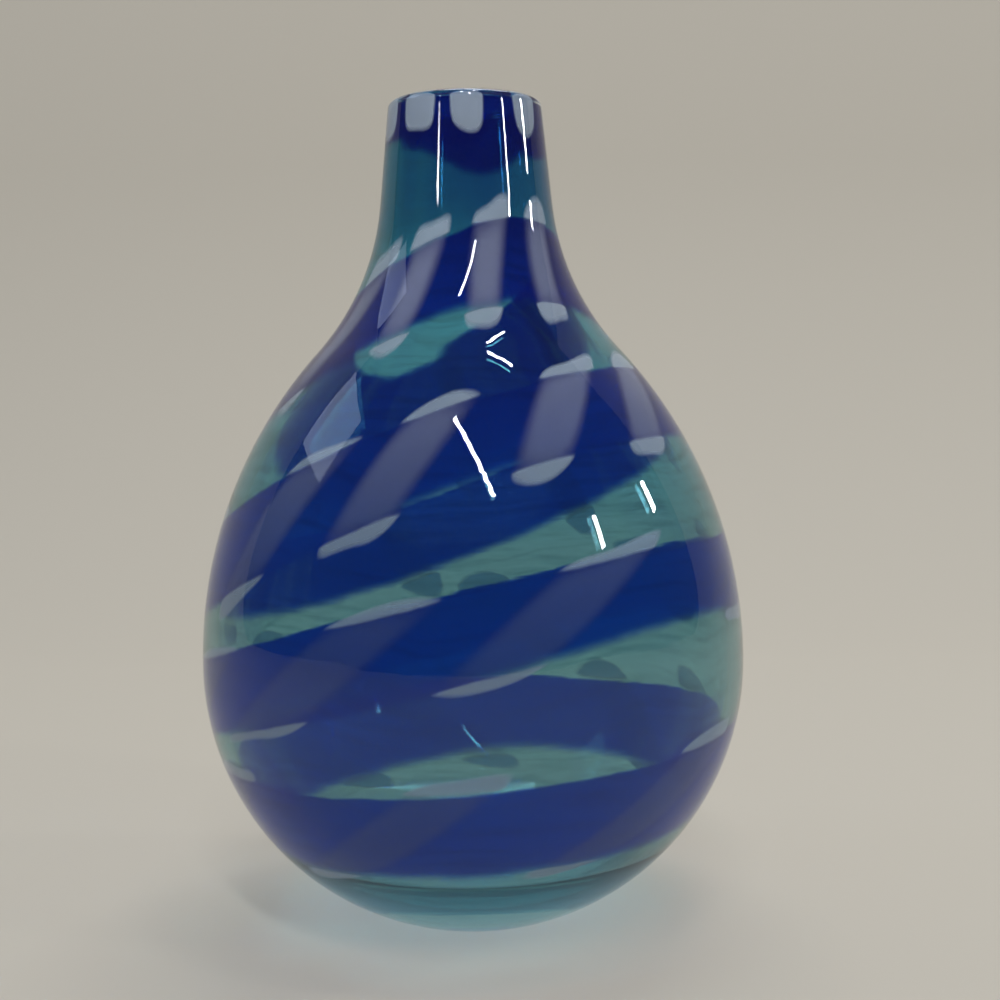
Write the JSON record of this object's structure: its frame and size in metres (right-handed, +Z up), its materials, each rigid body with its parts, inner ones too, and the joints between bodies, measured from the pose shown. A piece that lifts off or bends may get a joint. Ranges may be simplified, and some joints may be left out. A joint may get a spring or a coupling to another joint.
{
  "type": "blown glass vase",
  "caption": "Hollow round teardrop vase of blown glass: short tapering neck, rounded lip, flat foot, cobalt ribbons and opal bars cased in aqua and clear glass.",
  "frame": {"origin": "centre of the flat foot, on the surface that the vase stands on", "axes": "+Z up along the vase's axis of turning; -Y is the front of the pattern"},
  "size_m": [0.168, 0.168, 0.25],
  "materials": {
    "clear_glass": "clear cased glass, fire polished, with faint draw lines and a few seeds",
    "aqua_glass": "transparent aqua green glass, teal where the neck is seen through both walls",
    "cobalt_glass": "deep transparent cobalt blue with feathered edges and fine cords",
    "opal_glass": "milky opal white glass, lavender where it lies over the cobalt"
  },
  "bodies": {
    "root": {"clear_casing": "clear_glass", "aqua_bubble": "aqua_glass", "cobalt_rim": "cobalt_glass", "cobalt_shoulder": "cobalt_glass", "cobalt_upper": "cobalt_glass", "cobalt_belly": "cobalt_glass", "cobalt_base": "cobalt_glass", "opal_rim_1": "opal_glass", "opal_rim_2": "opal_glass", "opal_rim_3": "opal_glass", "opal_rim_4": "opal_glass", "opal_rim_5": "opal_glass", "opal_rim_6": "opal_glass", "opal_rim_7": "opal_glass", "opal_rim_8": "opal_glass", "opal_shoulder_1": "opal_glass", "opal_shoulder_2": "opal_glass", "opal_shoulder_3": "opal_glass", "opal_shoulder_4": "opal_glass", "opal_shoulder_5": "opal_glass", "opal_shoulder_6": "opal_glass", "opal_shoulder_7": "opal_glass", "opal_shoulder_8": "opal_glass", "opal_upper_1": "opal_glass", "opal_upper_2": "opal_glass", "opal_upper_3": "opal_glass", "opal_upper_4": "opal_glass", "opal_upper_5": "opal_glass", "opal_upper_6": "opal_glass", "opal_upper_7": "opal_glass", "opal_upper_8": "opal_glass", "opal_belly_1": "opal_glass", "opal_belly_2": "opal_glass", "opal_belly_3": "opal_glass", "opal_belly_4": "opal_glass", "opal_belly_5": "opal_glass", "opal_belly_6": "opal_glass", "opal_belly_7": "opal_glass", "opal_base_1": "opal_glass", "opal_base_2": "opal_glass", "opal_base_3": "opal_glass", "opal_base_4": "opal_glass", "opal_base_5": "opal_glass", "opal_base_6": "opal_glass", "opal_base_7": "opal_glass"}
  },
  "joints": []
}
